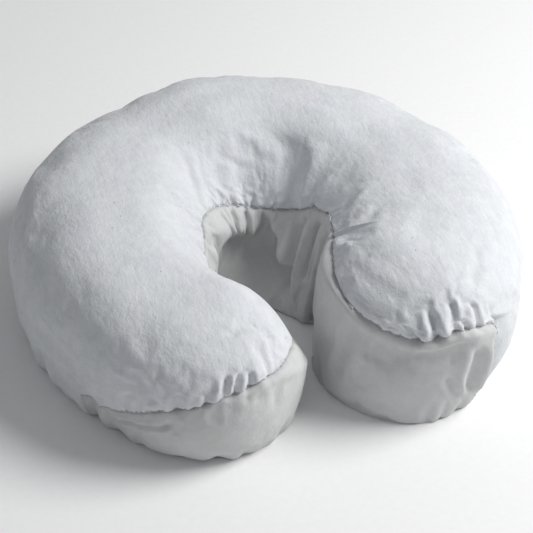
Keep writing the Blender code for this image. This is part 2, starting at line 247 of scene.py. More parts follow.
def spine(count, samples=600):
    """Evenly spaced points and tangents on the centre line, from the right tip to the left tip."""
    arm_y = np.linspace(-ARM_LENGTH, 0.0, samples)[:-1]
    arm_x = ARM_SPREAD - (ARM_SPREAD - TIP_SPREAD) * (arm_y / ARM_LENGTH) ** 2
    turn = np.linspace(0.0, pi, samples)
    crown = np.column_stack([ARM_SPREAD * np.cos(turn), CROWN_RISE * np.sin(turn)])
    arm = np.column_stack([arm_x, arm_y])
    path = np.concatenate([arm, crown, (arm * [-1.0, 1.0])[::-1]])
    along = travelled(path)
    tangents = np.gradient(path, axis=0)
    tangents /= np.linalg.norm(tangents, axis=1)[:, None]
    distance = np.linspace(0.0, along[-1], count)
    points = resample(distance, along, path)
    tangent = resample(distance, along, tangents)
    tangent /= np.linalg.norm(tangent, axis=1)[:, None]
    points[:, 1] -= MIDDLE_Y
    return points, tangent, distance / along[-1]


def loop_columns():
    """Every column of the horseshoe, in order: outer side, left tip, inner side, right tip."""
    points, tangent, share = spine(SIDE_COLUMNS)
    outward = np.column_stack([tangent[:, 1], -tangent[:, 0]])
    angle = np.linspace(0.0, pi, TIP_COLUMNS + 2)[1:-1]
    left = np.outer(np.cos(angle), outward[-1]) + np.outer(np.sin(angle), tangent[-1])
    right = np.outer(np.cos(angle), outward[0]) - np.outer(np.sin(angle), tangent[0])
    ones = np.ones(TIP_COLUMNS)
    left_round, right_round = (
        0.5 + 0.5 * np.cos(pi * np.minimum(angle / (end * pi), 1.0))
        for end in (ROUND_END_LEFT, ROUND_END_RIGHT))
    centre = np.concatenate([
        points, np.outer(ones, points[-1]), points[::-1], np.outer(ones, points[0])])
    direction = np.concatenate([outward, left, -outward[::-1], right[::-1]])
    shares = np.concatenate([share, ones, share[::-1], 0.0 * ones])
    outerness = np.concatenate([
        np.ones(SIDE_COLUMNS), left_round, np.zeros(SIDE_COLUMNS), right_round[::-1]])
    rounds = np.concatenate([share, 1.0 + angle / pi, 3.0 - share[::-1], 4.0 - angle[::-1] / pi])
    loop = SimpleNamespace(
        centre=centre, direction=direction, share=shares, outerness=outerness, place=rounds,
        **section_sizes(shares, outerness))
    flat = np.zeros(SIDE_COLUMNS)
    facing = np.concatenate([flat, -np.cos(angle), flat + 1.0, -np.cos(angle[::-1])])
    loop.half_width = facing_reach(loop.half_width, shares, facing)
    lower_left_tip(loop)
    return loop


def lower_left_tip(loop):
    """The left tip sags, and slopes further down on the opening's side; the left arm is a little low."""
    crown_rise = 0.002 * window(loop.share, 0.36, 0.52, 0.12)
    loop.height += crown_rise - 0.004 * window(loop.share, 0.64, 0.82, 0.12)
    to_tip = np.maximum(2.0 * loop.share - 1.0, 0.0)
    loop.height -= LEFT_TIP_FALL * smooth((to_tip - 0.6) / 0.4)
    loop.turn_height = np.minimum(loop.turn_height, 0.75 * loop.height)
    inner_side = np.where(loop.place < 1.0, 0.0, smooth((loop.place - 1.35) / 0.4))
    sloping = smooth((to_tip - 0.5) / 0.4) * inner_side
    loop.turn_height += (LEFT_TIP_TURN - loop.turn_height) * sloping


def facing_reach(half_width, share, facing):
    """The half widths of columns that face the opening this much: 1 fully, 0 or less not at all."""
    from_crown = np.abs(2.0 * share - 1.0)
    narrowing = np.maximum((from_crown - NARROW_START) / (1.0 - NARROW_START), 0.0) ** NARROW_POWER
    at_tip = np.where(share < 0.5, INNER_HALF_WIDTH_RIGHT, INNER_HALF_WIDTH_LEFT)
    side = half_width - (HALF_WIDTH_TIP - at_tip) * narrowing
    limit = side / np.maximum(facing, 0.05)
    rounded = (half_width ** -TIP_SQUARENESS + limit ** -TIP_SQUARENESS) ** (-1.0 / TIP_SQUARENESS)
    return np.where(facing >= 1.0, side, np.where(facing > 0.05, rounded, half_width))


def loop_place(where, at):
    """How far round the loop a place on one of its four sides is, from 0 to 4."""
    return {"outer": at, "left": 1.0 + at, "inner": 3.0 - at, "right": 4.0 - at}[where]


def section_sizes(share, outerness):
    """Half width, height and seam height of every column."""
    from_crown = np.abs(2.0 * share - 1.0)
    half_width = HALF_WIDTH_CROWN + (HALF_WIDTH_ARM - HALF_WIDTH_CROWN) * smooth(from_crown / 0.5)
    half_width += (HALF_WIDTH_TIP - HALF_WIDTH_ARM) * np.maximum(from_crown / 0.5 - 1.0, 0.0) ** 2
    height = HEIGHT_TIP + (HEIGHT_CROWN - HEIGHT_TIP) * np.sin(pi * share)
    tip_share = np.where(share < 0.5, TURN_SHARE_RIGHT, TURN_SHARE_LEFT)
    turn_share = TURN_SHARE_CROWN + (tip_share - TURN_SHARE_CROWN) * np.minimum(from_crown / 0.6, 1) ** 1.5
    turn_share += (BULGE_SHARE - turn_share) * outerness
    return dict(half_width=half_width, height=height, turn_height=turn_share * height)


def undercut(loop, down):
    """How far the wall has turned in, this share of the way down from the seam."""
    depth = INNER_UNDERCUT + (OUTER_UNDERCUT - INNER_UNDERCUT) * loop.outerness[:, None]
    return 1.0 - depth * (1.0 - np.sqrt(np.maximum(1.0 - down ** UNDERCUT_POWER, 0.0)))


def surface_grid(loop):
    """Points of the smooth surface, as an array of columns x rows x 3."""
    width = loop.half_width[:, None]
    top = loop.height[:, None]
    turn = loop.turn_height[:, None]
    outerness = loop.outerness[:, None]
    fullness = INNER_FULLNESS + (OUTER_FULLNESS - INNER_FULLNESS) * outerness
    lean = np.sin(0.5 * pi * np.arange(TOP_ROWS + 1) / TOP_ROWS)[None, :] ** (2.0 / fullness)
    drop = np.clip(1.0 - lean ** (fullness + 0.6 * (1.0 - outerness)), 0.0, 1.0)
    dome_height = turn + (top - turn) * drop ** (1.0 / (1.0 + outerness))
    down = np.sin(0.5 * pi * np.arange(1, WALL_ROWS + 1) / WALL_ROWS)[None, :]
    wall_reach = width * undercut(loop, down)
    wall_height = turn * (1.0 - down)
    inward = np.arange(1, TUCK_ROWS + 1)[None, :] / TUCK_ROWS
    tuck_reach = wall_reach[:, -1:] - HEM_TUCK * inward
    reach = np.concatenate([width * lean, wall_reach, tuck_reach], axis=1)
    height = np.concatenate([dome_height, wall_height, np.zeros_like(tuck_reach)], axis=1)
    flat = loop.centre[:, None, :] + loop.direction[:, None, :] * reach[:, :, None]
    return np.concatenate([flat, height[:, :, None]], axis=2)


def move_seam(loop, grid):
    """The same surface with its rows spaced out again, so that the seam's row lies on the seam."""
    course = sorted(
        (loop_place(side, at), drop) for side, points in SEAM_DROP.items() for at, drop in points)
    places, drops = np.transpose(course)
    drop = np.interp(loop.place, places, drops, period=4.0)
    kernel = np.hanning(2 * SEAM_BLUR + 1) / np.hanning(2 * SEAM_BLUR + 1).sum()
    drop = np.convolve(np.concatenate([drop[-SEAM_BLUR:], drop, drop[:SEAM_BLUR]]), kernel, mode="valid")
    result = grid.copy()
    for column in range(COLUMNS):
        along = travelled(grid[column, :FOOT_ROW + 1])
        seam = along[SEAM_ROW] + drop[column]
        above = along[:SEAM_ROW + 1] * seam / along[SEAM_ROW]
        share_down = (along[SEAM_ROW:] - along[SEAM_ROW]) / (along[-1] - along[SEAM_ROW])
        wanted = np.concatenate([above, seam + share_down[1:] * (along[-1] - seam)])
        result[column, :FOOT_ROW + 1] = resample(wanted, along, grid[column, :FOOT_ROW + 1])
    return result


# ------------------------------ folds of the cover

def section_lengths(grid, row):
    """Signed distance along each column from one row: negative towards the ridge."""
    steps = np.linalg.norm(np.diff(grid, axis=1), axis=2)
    along = np.concatenate([np.zeros((grid.shape[0], 1)), np.cumsum(steps, axis=1)], axis=1)
    return along - along[:, row:row + 1]


def grid_normals(grid):
    """Outward normals of the surface at every grid point."""
    round_it = np.roll(grid, -1, axis=0) - np.roll(grid, 1, axis=0)
    down_it = np.gradient(grid, axis=1)
    normal = np.cross(down_it, round_it)
    length = np.linalg.norm(normal, axis=2, keepdims=True)
    normal = normal / np.maximum(length, 1e-12)
    normal[:, 0] = (0.0, 0.0, 1.0)
    return normal


def window(value, low, high, soft):
    """1 between low and high, falling softly to 0 over this distance beyond them."""
    return smooth((value - low) / soft + 1.0) * smooth((high - value) / soft + 1.0)


def crease(across, width):
    """A pucker: a narrow valley between two soft ridges."""
    share = across / width
    return -np.exp(-share ** 2) + 0.45 * np.exp(-((np.abs(share) - 1.9) / 0.9) ** 2)


def gusset_span(loop):
    """First and last column of the gusset: from one tip's outer side to the other's."""
    first = np.searchsorted(loop.place, loop_place(*GUSSET_START))
    last = np.searchsorted(loop.place, loop_place(*GUSSET_END))
    return int(first), int(last)


def measure(loop, grid):
    """What the folds are laid out by: distance round the loop and below the seam, at every point."""
    round_seam = travelled(grid[:, SEAM_ROW])
    beside = section_lengths(grid, SEAM_ROW)
    first, last = gusset_span(loop)
    column = np.arange(COLUMNS)[:, None]
    return SimpleNamespace(
        round_seam=round_seam, arc=round_seam[:, None], beside=beside, first=first, last=last,
        in_gusset=(column >= first) & (column <= last), place=loop.place[:, None])


def arc_at(loop, chart, where, at):
    """Distance round the loop of a place on one of its sides."""
    return np.interp(loop_place(where, at), loop.place, chart.round_seam)


def draw_seam_in(chart):
    """The groove that the seam's thread pulls in the cloth, and the welt of turned-in cloth below it."""
    groove = bump(chart.beside, SEAM_GROOVE_WIDTH) * chart.in_gusset
    below = smooth((chart.beside + 0.002) / 0.004)
    for end, strength in ((chart.first, 0.2), (chart.last, 1.0)):
        groove = np.maximum(groove, strength * bump(chart.arc - chart.arc[end], SEAM_GROOVE_WIDTH) * below)
    on_tips = window(chart.place, loop_place("right", 0.62), loop_place(*GUSSET_END), 0.08)
    on_tips = np.maximum(on_tips, 0.4 * window(chart.place, 1.12, 1.6, 0.1))
    welt = WELT_RISE * bump(chart.beside - WELT_DROP, WELT_WIDTH) * chart.in_gusset * on_tips
    return welt - SEAM_GROOVE_DEPTH * groove


def end_pleat(chart):
    """Where the gusset ends on the right tip: its edge stands proud and the top panel falls in behind."""
    past = chart.arc - chart.arc[chart.last]
    below = smooth((chart.beside + 0.006) / 0.006)
    fall = np.exp(-(np.maximum(past, 0.0) / 0.013) ** 1.5)
    behind = np.where(past > 0.0, smooth(past / 0.0016) * fall, 0.0)
    deepest = 1.0 + 0.5 * bump(chart.beside - 0.001, 0.008)
    proud = np.where(past <= 0.0, np.exp(past / 0.004), 0.0)
    return (0.0018 * proud - 0.0058 * deepest * behind) * below


def puckers(chart, rng):
    """Short creases that the seam draws in the cloth on both sides of it."""
    depth_here = pucker_strength(chart)
    result = np.zeros(chart.beside.shape)
    place = chart.round_seam[chart.first]
    while place < chart.round_seam[chart.last]:
        place += rng.uniform(*PUCKER_SPACING)
        strength = np.interp(place, chart.round_seam, depth_here) * rng.uniform(0.35, 1.0)
        width = rng.uniform(*PUCKER_WIDTH)
        lean = rng.uniform(-0.45, 0.45)
        up_length = rng.uniform(*PUCKER_LENGTH)
        across = chart.arc - place + lean * chart.beside
        shape = crease(across, width * (1.0 + np.abs(chart.beside) / up_length))
        above = chart.beside < 0.0
        length = np.where(above, up_length, 0.5 * up_length)
        start = smooth(np.abs(chart.beside) / 0.0012)
        fade = np.exp(-(np.abs(chart.beside) / length) ** 2)
        result += strength * shape * start * np.where(above, 1.0, 0.4) * fade
    return result


def pucker_strength(chart):
    """How deep the puckers are at each column: deepest round the tips, weak along the arms."""
    place = chart.place[:, 0]
    strength = np.full(COLUMNS, 0.00025)
    strength += 0.0008 * window(place, loop_place("right", 0.48), loop_place("right", 0.20), 0.12)
    strength += 0.0009 * window(place, loop_place("left", 0.10), loop_place("left", 0.40), 0.10)
    strength += 0.0011 * window(place, loop_place("inner", 0.62), loop_place("inner", 0.44), 0.08)
    return strength


def curtain(loop, grid):
    """How far the hem's elastic draws the gusset off the pad, across the opening, at every point.

    The hem runs straight from the crown's left to the right arm, and the cloth hangs from the seam to
    it.  Right of a slanting fold it is tight; left of the fold it sinks in before it meets the hem.
    """
    on_inner_side = (loop.place > 2.0) & (loop.place < 3.0)
    start, end = np.array(CHORD_START), np.array(CHORD_END)
    along = (end - start) / np.linalg.norm(end - start)
    toward = np.array([along[1], -along[0]])
    away = (start - grid[:, FOOT_ROW, :2]) @ toward
    pull = 0.5 * (away + np.sqrt(away ** 2 + 0.004 ** 2)) - 0.0005
    pull *= window(loop.share, 0.10, 0.66, 0.05) * on_inner_side
    hang = np.clip(1.0 - grid[:, :, 2] / grid[:, SEAM_ROW:SEAM_ROW + 1, 2], 0.0, 1.0)
    hang *= np.arange(grid.shape[1])[None, :] > SEAM_ROW
    share = loop.share[:, None]
    fold_share = CURTAIN_FOLD_TOP + (CURTAIN_FOLD_FOOT - CURTAIN_FOLD_TOP) * hang ** 0.8
    left_of_fold = smooth((share - fold_share) / 0.030 + 0.5)
    sunken = hang * (0.15 + 0.85 * smooth((hang - 0.58) / 0.30))
    profile = hang + (sunken - hang) * left_of_fold
    beside_fold = np.clip((fold_share - share) / 0.22, 0.0, 1.0)
    stand = CURTAIN_STAND * smooth(hang / 0.3) * smooth((1.0 - hang) / 0.15 + 0.3) * (1.0 - left_of_fold)
    stand *= (1.0 - beside_fold) * window(loop.share, 0.10, 0.60, 0.06)[:, None] * on_inner_side[:, None]
    reach = pull[:, None] * profile + stand
    for _ in range(6):
        reach = blur_round(reach)
    move = reach[:, :, None] * toward[None, None, :]
    shoulder = 0.0085 * window(loop.share, 0.50, 0.74, 0.07)[:, None] * bump(hang - 0.24, 0.15)
    shoulder *= on_inner_side[:, None]
    return move + loop.direction[:, None, :] * shoulder[:, :, None]


def long_folds(loop, chart):
    """Every long fold, each tapering at its two ends."""
    result = np.zeros(chart.beside.shape)
    for where, from_place, top, to_place, foot, width, depth in FOLDS:
        run = np.clip((chart.beside - top) / (foot - top), 0.0, 1.0)
        from_arc = arc_at(loop, chart, where, from_place)
        to_arc = arc_at(loop, chart, where, to_place)
        across = chart.arc - (from_arc + (to_arc - from_arc) * run)
        soft = 0.2 * (foot - top)
        fade = smooth((chart.beside - top) / soft) * smooth((foot - chart.beside) / soft + 0.6)
        result += depth * crease(across, width) * fade
    return result


def bunches(loop, chart):
    """Round bumps of cloth caught over the elastic."""
    result = np.zeros(chart.beside.shape)
    for where, at, below, radius, height in BUNCHES:
        away = np.hypot(chart.arc - arc_at(loop, chart, where, at), 1.4 * (chart.beside - below))
        result += height * bump(away, radius)
    return result


def tuck_line(loop, chart):
    """The lying crease below the seam's end on the left tip."""
    line = 0.009 + 0.0012 * np.sin((chart.arc - arc_at(loop, chart, "left", 0.0)) / 0.006)
    along = window(chart.place, 0.985, 1.09, 0.02)
    return 0.0016 * along * crease(chart.beside - line, 0.0016)


def hem_gathers(loop, grid, rng):
    """Gathers that the elastic draws in the lower wall and the tuck, all round."""
    arc = travelled(grid[:, SEAM_ROW + WALL_ROWS // 2])[:, None]
    rows = np.arange(grid.shape[1])[None, :]
    outer_left = (loop.share > 0.72) & (loop.outerness > 0.5)
    strength = np.where(outer_left, 0.0028, 0.0012)
    result = np.zeros(grid.shape[:2])
    place = 0.0
    while place < arc[-1, 0]:
        place += rng.uniform(*GATHER_SPACING)
        width = rng.uniform(*GATHER_WIDTH)
        deep = np.interp(place, arc[:, 0], strength) * rng.uniform(0.3, 1.0)
        start = rng.uniform(*GATHER_START)
        lower = smooth(((rows - SEAM_ROW) / WALL_ROWS - start) / 0.5)
        result += deep * crease(arc - place, width) * lower
    return result


def uneven(grid, rng):
    """Slow unevenness of the stuffing and the cloth, from a few sine waves."""
    result = np.zeros(grid.shape[:2])
    for _ in range(14):
        heading = rng.normal(size=3)
        heading /= np.linalg.norm(heading)
        length = rng.uniform(0.025, 0.09)
        phase = rng.uniform(0.0, 2.0 * pi)
        result += np.sin(grid @ heading * 2.0 * pi / length + phase) * length
    return result * UNEVENNESS / result.std()


def dress(loop, chart, grid):
    """The cover's grid with all its folds, groove and gathers."""
    rng = np.random.default_rng(7)
    rows = np.arange(grid.shape[1])
    lift = uneven(grid, rng)
    lift += puckers(chart, rng)
    lift += hem_gathers(loop, grid, rng)
    lift += long_folds(loop, chart)
    lift += bunches(loop, chart)
    lift += tuck_line(loop, chart)
    lift += end_pleat(chart)
    lift += draw_seam_in(chart)
    lift *= smooth((rows - 1) / 8.0)[None, :]
    result = grid + grid_normals(grid) * lift[:, :, None]
    drawn = curtain(loop, grid)
    result[:, :, :2] += drawn
    least = FLOOR_GAP + np.minimum(0.3 * np.linalg.norm(drawn, axis=2), 1.2 * FLANNEL)
    result[:, :, 2] = np.maximum(result[:, :, 2], least)
    return result


def under_layer(grid, dressed, depth):
    """The surface this far under the smooth one, and further in where the cover's folds go deep."""
    normal = grid_normals(grid)
    lowest = np.minimum(((dressed - grid) * normal).sum(axis=2), 0.0)
    for _ in range(6):
        beside = np.minimum(np.roll(lowest, 1, axis=0), np.roll(lowest, -1, axis=0))
        lowest = np.minimum(lowest, beside)
    for _ in range(2):
        padded_rows = np.pad(lowest, ((0, 0), (1, 1)), mode="edge")
        lowest = np.minimum(lowest, np.minimum(padded_rows[:, :-2], padded_rows[:, 2:]))
    for _ in range(4):
        lowest = blur_round(lowest)
    lowest *= smooth(np.arange(grid.shape[1]) / 8.0)[None, :]
    layer = grid + normal * (lowest - depth)[:, :, None]
    layer[:, :, 2] = np.maximum(layer[:, :, 2], BASE_HEIGHT + VINYL)
    return layer[:, :FOOT_ROW + 1]


# ------------------------------ meshes from the grid

def vertex_numbers(side, tip, rows):
    """The vertex of each (column, row), with the ridge shared by the columns that meet there."""
    ridge = np.concatenate([
        np.arange(side), np.full(tip, side - 1), np.arange(side)[::-1], np.zeros(tip, int)])
    count = 2 * (side + tip)
    numbers = side + np.arange(count * (rows - 1)).reshape(count, rows - 1)
    return np.column_stack([ridge, numbers])


def grid_mesh(name, grid, cells, side=SIDE_COLUMNS, tip=TIP_COLUMNS):
    """An object of the grid's cells, where cells is a column x row array of true and false."""
    numbers = vertex_numbers(side, tip, grid.shape[1])
    points = np.zeros((numbers.max() + 1, 3))
    points[numbers.ravel()] = grid.reshape(-1, 3)
    after = np.roll(numbers, -1, axis=0)
    quads = np.stack([numbers[:, :-1], numbers[:, 1:], after[:, 1:], after[:, :-1]], axis=2)[cells]
    faces = [list(dict.fromkeys(quad)) for quad in quads.tolist()]
    faces = [face for face in faces if len(face) > 2]
    used, packed = np.unique(np.concatenate(faces), return_inverse=True)
    ends = np.cumsum([len(face) for face in faces])
    faces = [part.tolist() for part in np.split(packed, ends[:-1])]
    return mesh_object(name, points[used], faces)


def mesh_object(name, points, faces):
    """A smooth shaded object of these points and faces."""
    mesh = bpy.data.meshes.new(name)
    mesh.from_pydata(np.reshape(points, (-1, 3)).tolist(), [], faces)
    mesh.shade_smooth()
    obj = bpy.data.objects.new(name, mesh)
    bpy.context.scene.collection.objects.link(obj)
    return obj


def thicken(obj, thickness):
    """Gives a cloth panel its thickness, inward from the surface."""
    modifier = obj.modifiers.new("thickness", "SOLIDIFY")
    modifier.thickness = thickness
    modifier.offset = -1.0


def weld(obj, distance=1e-5):
    """Joins the points that lie on each other, and turns every face outward."""
    bm = bmesh.new()
    bm.from_mesh(obj.data)
    bmesh.ops.remove_doubles(bm, verts=bm.verts, dist=distance)
    bmesh.ops.recalc_face_normals(bm, faces=bm.faces)
    bm.to_mesh(obj.data)
    bm.free()


def tube_rings(centres, across, up, half_width, half_height, sides):
    """Rings of an oval tube: one for each centre, with its own half width and half height."""
    turn = np.arange(sides) * 2.0 * pi / sides
    wide = np.cos(turn)[None, :, None] * across[:, None, :] * half_width[:, None, None]
    high = np.sin(turn)[None, :, None] * up[:, None, :] * half_height[:, None, None]
    return centres[:, None, :] + wide + high


def ring_faces(rings, sides, first, closed):
    """Faces between rings of a tube, closed into a loop or capped at its two ends."""
    faces = []
    for ring in range(rings if closed else rings - 1):
        here, there = first + ring * sides, first + (ring + 1) % rings * sides
        for side in range(sides):
            after = (side + 1) % sides
            faces.append((here + side, here + after, there + after, there + side))
    if not closed:
        last = first + (rings - 1) * sides
        faces.append(tuple(first + side for side in range(sides))[::-1])
        faces.append(tuple(last + side for side in range(sides)))
    return faces


# ------------------------------ cloth simulation

def fill_between(coarse):
    """Values at every column and row, from values at every second one."""
    columns = np.repeat(coarse, 2, axis=0)
    columns[1::2] = (coarse + np.roll(coarse, -1, axis=0)) / 2.0
    result = np.repeat(columns, 2, axis=1)[:, :-1]
    result[:, 1::2] = (columns[:, :-1] + columns[:, 1:]) / 2.0
    return result


def simulated_move(loop, grid):
    """How far each point moves in a short simulation: the pad presses out and the edges draw in."""
    side, tip = (SIDE_COLUMNS + 1) // 2, (TIP_COLUMNS - 1) // 2
    cloth = grid_mesh("cover_cloth", grid, np.ones((grid.shape[0], grid.shape[1] - 1), bool), side, tip)
    numbers = vertex_numbers(side, tip, grid.shape[1])
    seam_row, foot_row = SEAM_ROW // 2, FOOT_ROW // 2
    first, last = (edge // 2 for edge in gusset_span(loop))
    held = cloth.vertex_groups.new(name="held")
    held.add(np.unique(numbers[:, :HELD_TOP_ROWS]).tolist(), 1.0, "REPLACE")
    held.add(np.unique(numbers[:, -2:]).tolist(), 1.0, "REPLACE")
    drawn = cloth.vertex_groups.new(name="drawn")
    drawn.add(np.unique(numbers[:, foot_row - 1:]).tolist(), 0.6, "REPLACE")
    drawn.add(np.unique(numbers[first:last + 1, seam_row]).tolist(), 1.0, "REPLACE")
    modifier = cloth.modifiers.new("cloth", "CLOTH")
    settings = modifier.settings
    for name, value in CLOTH_SETTINGS.items():
        setattr(settings, name, value)
    settings.effector_weights.gravity = 0.0
    modifier.collision_settings.use_collision = False
    modifier.point_cache.frame_end = CLOTH_FRAMES
    scene = bpy.context.scene
    for frame_number in range(1, CLOTH_FRAMES + 1):
        scene.frame_set(frame_number)
    shape = cloth.evaluated_get(bpy.context.evaluated_depsgraph_get()).to_mesh()
    points = np.zeros(len(shape.vertices) * 3)
    shape.vertices.foreach_get("co", points)
    moved = points.reshape(-1, 3)[numbers] - grid
    bpy.data.objects.remove(cloth, do_unlink=True)
    scene.frame_set(1)
    return moved


def settle(loop, grid):
    """The grid with the simulation's wrinkles: its fine movement, without the slow swelling."""
    moved = simulated_move(loop, grid[::2, ::2])
    slow = moved
    for _ in range(WRINKLE_SIZE):
        slow = blur_round(slow)
        rows = np.pad(slow, ((0, 0), (1, 1), (0, 0)), mode="edge")
        slow = (rows[:, :-2] + rows[:, 1:-1] + rows[:, 2:]) / 3.0
    fine = moved - slow
    length = np.linalg.norm(fine, axis=2, keepdims=True)
    fine = fill_between(fine * np.minimum(1.0, CLOTH_CAP / np.maximum(length, 1e-9)))
    rows = np.arange(grid.shape[1])
    free = smooth((rows - 12) / 16.0) * smooth((FOOT_ROW - rows) / 8.0)
    return grid + fine * free[None, :, None]


# ------------------------------ procedural materials

def feed(tree, socket, value):
    """Gives a socket a number, a colour or another node's output."""
    if isinstance(value, bpy.types.NodeSocket):
        tree.links.new(value, socket)
    elif socket.type == "RGBA":
        socket.default_value = (*value, 1.0)
    else:
        socket.default_value = value


def add_node(tree, kind, inputs=None, **settings):
    """Adds a node with these settings; each input is a value or another node's output."""
    node = tree.nodes.new(kind)
    for name, value in settings.items():
        setattr(node, name, value)
    for name, value in (inputs or {}).items():
        feed(tree, node.inputs[name], value)
    return node


def new_material(name, roughness, sheen=0.0):
    """A Principled material, its node tree, its shader and the object coordinates."""
    material = bpy.data.materials.new(name)
    material.use_nodes = True
    tree = material.node_tree
    shader = tree.nodes["Principled BSDF"]
    shader.inputs["Roughness"].default_value = roughness
    shader.inputs["Sheen Weight"].default_value = sheen
    coordinates = tree.nodes.new("ShaderNodeTexCoord").outputs["Object"]
    return material, tree, shader, coordinates


def dress_shader(tree, shader, colour, normal):
    """Links a colour and a bumped normal to the shader."""
    feed(tree, shader.inputs["Base Color"], colour)
    feed(tree, shader.inputs["Normal"], normal)


def noise(tree, coordinates, size, detail=2.0, roughness=0.5, distortion=0.0):
    """Noise whose lumps are about this many metres across."""
    node = add_node(tree, "ShaderNodeTexNoise", {
        "Vector": coordinates, "Scale": 1.0 / size, "Detail": detail, "Roughness": roughness,
        "Distortion": distortion})
    return node.outputs["Fac"]


def remap(tree, value, low, high, to_low=0.0, to_high=1.0):
    """The value's stretch from low to high, spread over another range."""
    node = add_node(tree, "ShaderNodeMapRange", {
        "Value": value, "From Min": low, "From Max": high, "To Min": to_low, "To Max": to_high})
    return node.outputs["Result"]


def mix_colour(tree, factor, first, second):
    """The first colour where the factor is 0, the second where it is 1."""
    node = add_node(tree, "ShaderNodeMix", data_type="RGBA")
    for index, value in ((0, factor), (6, first), (7, second)):
        feed(tree, node.inputs[index], value)
    return node.outputs[2]


def math_node(tree, operation, first, second):
    """One sum, product or comparison of two values."""
    node = add_node(tree, "ShaderNodeMath", operation=operation)
    for socket, value in zip(node.inputs, (first, second)):
        feed(tree, socket, value)
    return node.outputs[0]


def add_bump(tree, height, distance, strength=1.0, before=None):
    """A bump of this many metres, on top of the bump before it."""
    inputs = {"Height": height, "Distance": distance, "Strength": strength}
    if before is not None:
        inputs["Normal"] = before
    return add_node(tree, "ShaderNodeBump", inputs).outputs["Normal"]


def stretched(tree, coordinates, scale, turn=(0.0, 0.0, 0.0)):
    """Coordinates turned and then stretched, for a grain that runs one way."""
    node = add_node(tree, "ShaderNodeMapping", {
        "Vector": coordinates, "Scale": scale, "Rotation": turn})
    return node.outputs["Vector"]


def pills(tree, coordinates, spacing, radius, share):
    """Small round pills of fibre, on this share of cells this far apart."""
    node = add_node(tree, "ShaderNodeTexVoronoi", {"Vector": coordinates, "Scale": 1.0 / spacing})
    near = remap(tree, node.outputs["Distance"], radius, 0.3 * radius)
    chosen = add_node(tree, "ShaderNodeSeparateColor", {"Color": node.outputs["Color"]}).outputs[0]
    return math_node(tree, "MULTIPLY", near, math_node(tree, "LESS_THAN", chosen, share))


def flannel_material(name, bright, shade, tints, nap_size, nap_height, pill_share):
    """Brushed cotton: a mottled nap, faint tints, brushed streaks and a few pills."""
    material, tree, shader, coordinates = new_material(name, 0.95, 0.12)
    shader.inputs["Sheen Roughness"].default_value = 0.6
    grain = stretched(tree, coordinates, (1.0, 0.32, 0.7), (0.0, 0.0, 0.25))
    nap = noise(tree, coordinates, nap_size, 3.0, 0.7)
    streaks = noise(tree, grain, 2.2 * nap_size, 2.0, 0.6, 0.6)
    mottle = noise(tree, coordinates, 0.0075, 3.0, 0.6)
    patches = noise(tree, coordinates, 0.026, 1.0)
    bands = noise(tree, stretched(tree, coordinates, (1.0, 0.12, 0.3)), 0.0026, 1.0)
    pill = pills(tree, coordinates, 0.0085, 0.075, pill_share)
    dark_nap = tuple(0.80 * channel for channel in shade)
    dark_pill = tuple(0.72 * channel for channel in shade)
    colour = bright
    for value, low, high, most, tint in (
            (mottle, 0.30, 0.70, 0.70, shade), (patches, 0.52, 0.72, 0.28, tints[0]),
            (patches, 0.46, 0.28, 0.28, tints[1]), (bands, 0.50, 0.72, 0.28, shade),
            (streaks, 0.52, 0.72, 0.30, shade), (nap, 0.56, 0.78, 0.55, dark_nap)):
        colour = mix_colour(tree, remap(tree, value, low, high, 0.0, most), colour, tint)
    colour = mix_colour(tree, math_node(tree, "MULTIPLY", pill, 0.5), colour, dark_pill)
    lumps = noise(tree, coordinates, 0.0038, 2.0, 0.6)
    normal = None
    for height, distance, strength in (
            (mottle, 0.0014, 0.4), (lumps, 2.0 * nap_height, 0.5), (streaks, 2.2 * nap_height, 0.6),
            (nap, nap_height, 0.8), (pill, 0.0004, 0.8)):
        normal = add_bump(tree, height, distance, strength, normal)
    dress_shader(tree, shader, colour, normal)
    return material


def thread_material():
    """Cotton thread, with its twist as fine slanting bands: bumps, and painted shade in the grooves between
    the plies.
    """
    material, tree, shader, coordinates = new_material("sewing_thread", 0.75, 0.1)
    slant = stretched(tree, coordinates, (1.0, 1.0, 1.0), (0.5, 0.6, 0.4))
    twist = add_node(tree, "ShaderNodeTexWave", {"Vector": slant, "Scale": 900.0, "Distortion": 1.5})
    # Painted shade: the twist's grooves are painted darker than its ridges.
    colour = mix_colour(tree, twist.outputs["Fac"], (0.40, 0.41, 0.42), (0.66, 0.67, 0.68))
    dress_shader(tree, shader, colour, add_bump(tree, twist.outputs["Fac"], 0.0001, 0.8))
    return material


def elastic_material():
    """Woven elastic: cross ribs with a knitted edge to each, and painted shade between the ribs."""
    material, tree, shader, coordinates = new_material("woven_elastic", 0.8, 0.05)
    ribs = add_node(tree, "ShaderNodeTexWave", {"Vector": coordinates, "Scale": 250.0, "Distortion": 0.6})
    fibres = noise(tree, coordinates, 0.0006, 2.0, 0.7)
    # Painted shade: the valleys between the ribs are painted darker.
    colour = mix_colour(tree, ribs.outputs["Fac"], (0.62, 0.62, 0.60), (0.84, 0.84, 0.82))
    normal = add_bump(tree, ribs.outputs["Fac"], 0.0003, 0.9)
    dress_shader(tree, shader, colour, add_bump(tree, fibres, 0.0001, 0.7, normal))
    return material


